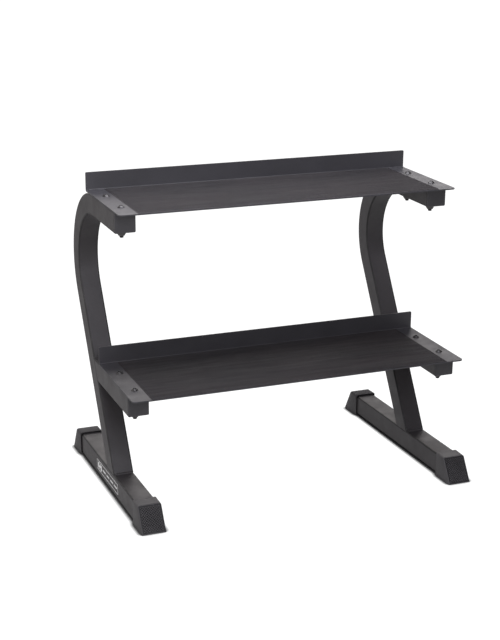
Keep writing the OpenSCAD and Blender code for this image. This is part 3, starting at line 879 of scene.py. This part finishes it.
def shelf_ring(x, end, crease, depth, lip):
    """Section of the folded sheet at x, which is a distance end from the sheet's nearer end."""
    front = crease.y - depth + setback(end, SHELF_CORNER)
    top = crease.z + lip - setback(end, LIP_CORNER)
    fold = crease + Vector((0, -FOLD_RADIUS, FOLD_RADIUS))
    ring = [(front, crease.z), (front + 0.002, crease.z)]
    for step in range(7):
        angle = -math.pi / 2 + step / 6 * math.pi / 2
        ring.append((fold.y + FOLD_RADIUS * math.cos(angle), fold.z + FOLD_RADIUS * math.sin(angle)))
    back = crease.y + SHEET
    ring += [(crease.y, top - 0.001), (crease.y, top), (back, top), (back, top - 0.001)]
    for step in range(7):
        angle = -step / 6 * math.pi / 2
        ring.append((fold.y + (FOLD_RADIUS + SHEET) * math.cos(angle),
                     fold.z + (FOLD_RADIUS + SHEET) * math.sin(angle)))
    ring += [(front + 0.002, crease.z - SHEET), (front, crease.z - SHEET)]
    return [Vector((x, y, z)) for y, z in ring]


def end_distances():
    """Distances from the sheet's end that follow its round corners closely."""
    marks = [SHELF_CORNER * (1 - math.cos(step / 12 * math.pi / 2)) for step in range(13)]
    marks += [LIP_CORNER * (1 - math.cos(step / 5 * math.pi / 2)) for step in range(1, 6)]
    return sorted(set(round(m, 6) for m in marks))


for level in ("upper", "lower"):
    low, high = sloped_box(f"{level}_shelf")
    crease = Vector((0, high.y - SHEET, low.z + SHEET))
    depth, lip = crease.y - low.y, high.z - crease.z
    ends = end_distances()
    rings = [shelf_ring(low.x + d, d, crease, depth, lip) for d in ends]
    rings += [shelf_ring(high.x - d, d, crease, depth, lip) for d in reversed(ends)]
    mesh = loops_to_mesh(f"{level}_folded_shelf", rings)
    mesh.transform(slope)
    mesh = drilled(mesh, level, crease.z + CLEAR, crease.z - SHEET - 0.001)
    finished(f"{level}_folded_shelf", mesh, shelf_paint, "shelf_paint", f"{level}_shelf", sharp=30,
             bevel=SHEET_EDGE)


# ---- Mats -----------------------------------------------------------------
# Thin rubber mats glued to the shelves between the bolt strips, rolled with fine
# ribs that run the length of the shelf.
MAT_BASE = 0.0015
MAT_EDGE = 0.0022
RIB_PITCH = 0.003
RIB_WIDTH = 0.0017


def calendered(name, colour, roughness):
    """Sheet rubber as it leaves the rolls: streaks along its length, fine grain, dusty patches."""
    rubber = Finish(name)
    streaks = rubber.toned(rubber.noise(1, 4, (9, 130, 1)), 0.34, 0.68, shaded(colour, 0.7),
                           shaded(colour, 1.35))
    dust = (colour[0] * 1.3, colour[1] * 1.16, colour[2] * 1.12)
    dusty = rubber.toned(rubber.noise(1, 5, (5, 14, 1)), 0.34, 0.68, shaded(colour, 0.8), dust)
    gloss = rubber.spread(rubber.noise(1, 3, (7, 90, 1)), 0.3, 0.7, roughness - 0.08, roughness + 0.08)
    skin = rubber.skin(rubber.noise(1, 3, (260, 900, 900)), 0.3, 0.0002)
    return rubber.coated(rubber.mixed(0.5, streaks, dusty), gloss, skin, **{"Specular IOR Level": 0.3})


mat_rubber = calendered("mat_rubber", (0.0295, 0.0268, 0.0292), 0.6)


def rib_tree():
    """Geometry nodes: a row of long ribs with sloped sides, one pitch apart."""
    tree, nodes, link, asked = group_of("mat_ribs", {
        "Count": "Int", "Pitch": "Float", "Rib": "Object", "Finish": "Material"}, "Ribs")
    gap = nodes.new("ShaderNodeCombineXYZ")
    link(asked["Pitch"], gap.inputs["Y"])
    line = nodes.new("GeometryNodeMeshLine")
    link(asked["Count"], line.inputs["Count"])
    link(gap.outputs[0], line.inputs["Offset"])
    rib = nodes.new("GeometryNodeObjectInfo")
    link(asked["Rib"], rib.inputs["Object"])
    stamp(nodes, link, line.outputs["Mesh"], rib.outputs["Geometry"], asked["Finish"])
    return tree


ribs_tree = rib_tree()
for level in ("upper", "lower"):
    low, high = sloped_box(f"{level}_mat")
    half = RIB_WIDTH / 2
    rise = high.z - low.z - MAT_BASE
    profile = [(-half, -0.0002), (half, -0.0002), (half * 0.55, rise), (-half * 0.55, rise)]
    rib = bpy.data.objects.new("rib", loops_to_mesh("rib", [
        [Vector((x, y, z)) for y, z in profile] for x in (low.x + MAT_EDGE, high.x - MAT_EDGE)]))
    bpy.context.scene.collection.objects.link(rib)
    count = int((high.y - low.y - 2 * MAT_EDGE) / RIB_PITCH)
    ribs = grown(ribs_tree, {"Count": count, "Pitch": RIB_PITCH, "Rib": rib, "Finish": mat_rubber})
    bpy.data.objects.remove(rib)
    start = (low.y + high.y) / 2 - (count - 1) * RIB_PITCH / 2
    ribs.transform(Matrix.Translation((0, start, low.z + MAT_BASE)))
    layers = []
    for inset, height in ((0, low.z), (0, low.z + 0.0004), (MAT_EDGE, low.z + MAT_BASE)):
        layers.append([Vector((x, y, height)) for x, y in (
            (low.x + inset, low.y + inset), (high.x - inset, low.y + inset),
            (high.x - inset, high.y - inset), (low.x + inset, high.y - inset))])
    mesh = joined(f"{level}_ribbed_mat", [loops_to_mesh("sheet", layers), ribs])
    mesh.transform(slope)
    finished(mesh.name, mesh, mat_rubber, "mat_rubber", f"{level}_mat")


# ---- Shelf bolts, washers and lock nuts -----------------------------------
# M10 button-head bolts with hexagon sockets, dropped through sheet and arm; a
# flat washer and a nylon-ringed lock nut under the arm.  The steel is black plated.
BOLT_RADIUS = 0.005
HEAD_RADIUS = 0.00875
HEAD_HEIGHT = 0.0055
SOCKET_FLATS = 0.006
SOCKET_DEPTH = 0.003
THREAD_PITCH = 0.0015
THREAD_LENGTH = 0.026
NUT_FLATS = 0.017
NUT_HEX = 0.007
NUT_COLLAR = 0.003
WASHER_THICKNESS = 0.002
THREAD_CLEAR = 0.00005
RING_RADIUS = BOLT_RADIUS + 0.00165
AROUND = 48
TURN_SEEDS = {"upper": 3, "lower": 8}


def plated(name, colour, roughness):
    """Black-plated steel: satin, with fine turning marks and faint rubbed patches."""
    steel = Finish(name)
    patches = steel.noise(260, 4)
    tone = steel.toned(patches, 0, 1, colour, shaded(colour, 1.8))
    gloss = steel.spread(patches, 0, 1, roughness - 0.08, roughness + 0.1)
    return steel.coated(tone, gloss, steel.skin(patches, 0.08, 0.0001), Metallic=0.9)


black_steel = plated("black_plated_steel", (0.075, 0.072, 0.072), 0.4)
nylon = moulded("nylon", (0.62, 0.62, 0.6), 0.42, 500, 0.1)


def circle_ring(radius, z):
    return [Vector((radius * math.cos(a), radius * math.sin(a), z))
            for a in (2 * math.pi * i / AROUND for i in range(AROUND))]


def hexagon_ring(flats, z, limit=None):
    """Ring of points on a hexagon, held inside a circle of radius limit if there is one."""
    ring = []
    for i in range(AROUND):
        angle = 2 * math.pi * i / AROUND
        from_flat = (angle + math.pi / 6) % (math.pi / 3) - math.pi / 6
        radius = flats / 2 / math.cos(from_flat)
        if limit:
            radius = min(radius, limit)
        ring.append(Vector((radius * math.cos(angle), radius * math.sin(angle), z)))
    return ring


def bolt_mesh(length):
    """Bolt with its head standing on z = 0 and its shank running down."""
    dome = (HEAD_RADIUS ** 2 + HEAD_HEIGHT ** 2) / (2 * HEAD_HEIGHT)
    rings = [hexagon_ring(SOCKET_FLATS * 0.5, HEAD_HEIGHT - SOCKET_DEPTH - 0.0006),
             hexagon_ring(SOCKET_FLATS, HEAD_HEIGHT - SOCKET_DEPTH),
             hexagon_ring(SOCKET_FLATS, HEAD_HEIGHT - 0.0007),
             hexagon_ring(SOCKET_FLATS * 1.1, HEAD_HEIGHT - 0.00045)]
    first = math.asin(0.0042 / dome)
    last = math.asin(min(1, HEAD_RADIUS / dome)) - 0.04
    for step in range(9):
        angle = first + step / 8 * (last - first)
        rings.append(circle_ring(dome * math.sin(angle), HEAD_HEIGHT - dome + dome * math.cos(angle)))
    rings += [circle_ring(HEAD_RADIUS - 0.0001, 0.0003), circle_ring(HEAD_RADIUS - 0.0004, 0),
              circle_ring(BOLT_RADIUS, 0), circle_ring(BOLT_RADIUS, THREAD_LENGTH - length)]
    turns = int(THREAD_LENGTH / THREAD_PITCH * 5)
    for step in range(turns + 1):
        z = THREAD_LENGTH - length - step / turns * (THREAD_LENGTH - 0.0008)
        ring = []
        for i in range(AROUND):
            share = ((z - length) / THREAD_PITCH + i / AROUND) % 1
            groove = 0.0009 * (1 - abs(2 * share - 1))
            angle = 2 * math.pi * i / AROUND
            radius = BOLT_RADIUS - groove
            ring.append(Vector((radius * math.cos(angle), radius * math.sin(angle), z)))
        rings.append(ring)
    rings += [circle_ring(BOLT_RADIUS - 0.0011, -length + 0.0004), circle_ring(BOLT_RADIUS - 0.0016, -length)]
    return loops_to_mesh("bolt", rings)


def washer_mesh(outer):
    """Stamped washer hanging below z = 0, with a soft lower edge."""
    edge = 0.0003
    inner = BOLT_RADIUS + THREAD_CLEAR
    rings = [circle_ring(inner, 0), circle_ring(outer - edge, 0), circle_ring(outer, -edge),
             circle_ring(outer, edge - WASHER_THICKNESS), circle_ring(outer - edge, -WASHER_THICKNESS),
             circle_ring(inner + edge, -WASHER_THICKNESS), circle_ring(inner, edge - WASHER_THICKNESS)]
    return loops_to_mesh("washer", rings, closed=True)


def nut_mesh():
    """Lock nut hanging below z = 0: chamfered hexagon, then the rolled collar round the nylon."""
    corner = NUT_FLATS / 2 / math.cos(math.pi / 6)
    collar = NUT_FLATS / 2 - 0.0006
    bore = BOLT_RADIUS + THREAD_CLEAR
    bottom = -NUT_HEX - NUT_COLLAR
    rings = [circle_ring(bore, 0), hexagon_ring(NUT_FLATS, 0, corner - 0.0008),
             hexagon_ring(NUT_FLATS, -0.0006), hexagon_ring(NUT_FLATS, 0.0006 - NUT_HEX),
             hexagon_ring(NUT_FLATS, -NUT_HEX, corner - 0.0008), circle_ring(collar, -NUT_HEX - 0.0002),
             circle_ring(collar, bottom + 0.001), circle_ring(collar - 0.0005, bottom + 0.0002),
             circle_ring(collar - 0.001, bottom), circle_ring(RING_RADIUS, bottom + 0.0003),
             circle_ring(RING_RADIUS, -NUT_HEX), circle_ring(bore, -NUT_HEX)]
    return loops_to_mesh("nut", rings, closed=True)


def ring_mesh():
    """Nylon ring in the nut's collar."""
    inner = BOLT_RADIUS + THREAD_CLEAR
    bottom = -NUT_HEX - NUT_COLLAR + 0.0005
    rings = [circle_ring(inner, -NUT_HEX), circle_ring(RING_RADIUS, -NUT_HEX),
             circle_ring(RING_RADIUS, bottom + 0.0003), circle_ring(RING_RADIUS - 0.0004, bottom),
             circle_ring(inner + 0.0003, bottom), circle_ring(inner, bottom + 0.0003)]
    return loops_to_mesh("ring", rings, closed=True)


def fastener_tree():
    """Geometry nodes: one copy of a fastener at each spot, turned by hand as it was tightened."""
    tree, nodes, link, asked = group_of("fasteners", {
        "Spots": "Geometry", "Fastener": "Object", "Seed": "Int", "Finish": "Material"}, "Fasteners")
    part = nodes.new("GeometryNodeObjectInfo")
    link(asked["Fastener"], part.inputs["Object"])
    turn = nodes.new("FunctionNodeRandomValue")
    turn.data_type = "FLOAT"
    turn.inputs["Max"].default_value = 2 * math.pi
    link(asked["Seed"], turn.inputs["Seed"])
    axis = nodes.new("ShaderNodeCombineXYZ")
    link(turn.outputs["Value"], axis.inputs["Z"])
    stamp(nodes, link, asked["Spots"], part.outputs["Geometry"], asked["Finish"], axis.outputs[0])
    return tree


fasteners_tree = fastener_tree()


def set_out(name, spots, mesh, material, slot, node, seed):
    """Copies a fastener to every spot of a level shelf, then slopes them with it."""
    source = bpy.data.objects.new("source", mesh)
    bpy.context.scene.collection.objects.link(source)
    result = grown(fasteners_tree, {"Fastener": source, "Seed": seed, "Finish": material}, spots)
    bpy.data.objects.remove(source)
    result.transform(slope)
    finished(name, result, material, slot, node, sharp=32)


for level in ("upper", "lower"):
    spots = bolt_spots(level)
    bolt_low, bolt_high = sloped_box(f"{level}_shelf_bolts")
    washer_low, washer_high = sloped_box(f"{level}_shelf_washers")
    washer_radius = (washer_high.x - washer_low.x) / 2 - FRAME_X
    head_seat = bolt_high.z - HEAD_HEIGHT
    on_shelf = [Vector((s.x, s.y, head_seat)) for s in spots]
    under_arm = [Vector((s.x, s.y, washer_high.z)) for s in spots]
    under_washer = [Vector((s.x, s.y, washer_low.z)) for s in spots]
    seed = TURN_SEEDS[level]
    set_out(f"{level}_bolts", on_shelf, bolt_mesh(head_seat - bolt_low.z), black_steel, "black_steel",
            f"{level}_shelf_bolts", seed)
    set_out(f"{level}_washers", under_arm, washer_mesh(washer_radius), black_steel, "black_steel",
            f"{level}_shelf_washers", seed)
    set_out(f"{level}_lock_nuts", under_washer, nut_mesh(), black_steel, "black_steel",
            f"{level}_shelf_lock_nuts", seed + 1)
    set_out(f"{level}_nylon_rings", under_washer, ring_mesh(), nylon, "nylon",
            f"{level}_nut_inserts", seed + 1)


# ---- Printed strip --------------------------------------------------------
# White screen print on the left runner's outer side: a thin outline, a plain
# dumbbell sign and bars.  The CAD node is kept; only its ink is made here.
def screen_print(name, colour):
    """White ink, a little thin and patchy, so that it dulls in specks."""
    ink = Finish(name)
    patches = ink.noise(420, 6)
    tone = ink.toned(patches, 0.32, 0.46, shaded(colour, 0.65), colour)
    return ink.coated(tone, 0.5, ink.skin(patches, 0.1, 0.0001))


decal = frame["nodes"]["left_runner_decal"]
decal.data.materials.clear()
decal.data.materials.append(screen_print("white_screen_print", (0.95, 0.95, 0.95)))
